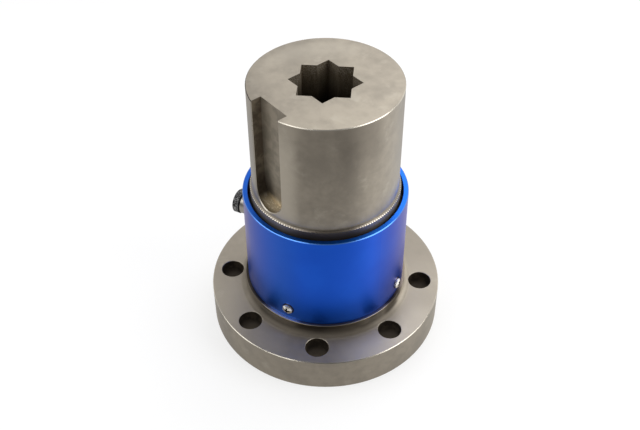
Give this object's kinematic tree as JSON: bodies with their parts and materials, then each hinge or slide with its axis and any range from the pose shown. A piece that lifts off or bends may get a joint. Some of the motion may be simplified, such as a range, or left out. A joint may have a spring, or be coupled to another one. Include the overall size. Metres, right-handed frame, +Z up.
{
  "type": "static torque sensor",
  "caption": "Static torque sensor: steel flange with bolt holes, keyed shaft with a double-square drive socket, blue cover sleeve and a capped side connector.",
  "frame": {"origin": "centre of the flange's underside", "axes": "+Z up along the measuring axis towards the shaft's end, -Y through the middle of the keyway"},
  "size_m": [0.18, 0.18, 0.215],
  "materials": {
    "body_steel": "fine turned",
    "sleeve_blue": "blue anodised satin",
    "bright_steel": "bright",
    "nickel": "nickel plated",
    "seal_rubber": "matt",
    "coating_rubber": "satin",
    "gauge_film": "film",
    "board_green": "satin",
    "brass": "bright",
    "wire_grey": "satin",
    "black_plastic": "satin",
    "cap_plastic": "knurled"
  },
  "bodies": {
    "sensor": {"transducer_body": "body_steel", "cover_sleeve": "sleeve_blue", "sleeve_screws": "bright_steel", "lower_seal_ring": "seal_rubber", "upper_seal_ring": "seal_rubber", "gauge_coating": "coating_rubber", "bridge_board": "board_green", "board_spacers": "brass", "board_screws": "bright_steel", "balance_resistors": "black_plastic", "connector_shell": "nickel", "connector_gasket": "seal_rubber", "connector_washer": "nickel", "connector_nut": "nickel", "connector_insert": "black_plastic", "connector_contacts": "brass", "signal_wires": "wire_grey", "strain_gauge_1": "gauge_film", "gauge_terminal_1": "brass", "gauge_lead_1": "wire_grey", "strain_gauge_2": "gauge_film", "gauge_terminal_2": "brass", "gauge_lead_2": "wire_grey", "strain_gauge_3": "gauge_film", "gauge_terminal_3": "brass", "gauge_lead_3": "wire_grey", "strain_gauge_4": "gauge_film", "gauge_terminal_4": "brass", "gauge_lead_4": "wire_grey"},
    "seal": {"cap_seal": "seal_rubber"},
    "cap": {"dust_cap": "cap_plastic"}
  },
  "joints": [
    {"name": "cap_travel", "type": "slide", "parent": "sensor", "child": "seal", "axis": [-0.9239, -0.3827, 0], "range_m": [0, 0.00375]},
    {"name": "cap_turn", "type": "hinge", "parent": "seal", "child": "cap", "pos_m": [-0.06929, -0.0287, 0.0767], "axis": [-0.9239, -0.3827, 0], "range_deg": [0, 1803]}
  ],
  "couplings": [
    {"joint": "cap_turn", "follows": "cap_travel", "rad_per_m": 8377.6}
  ]
}
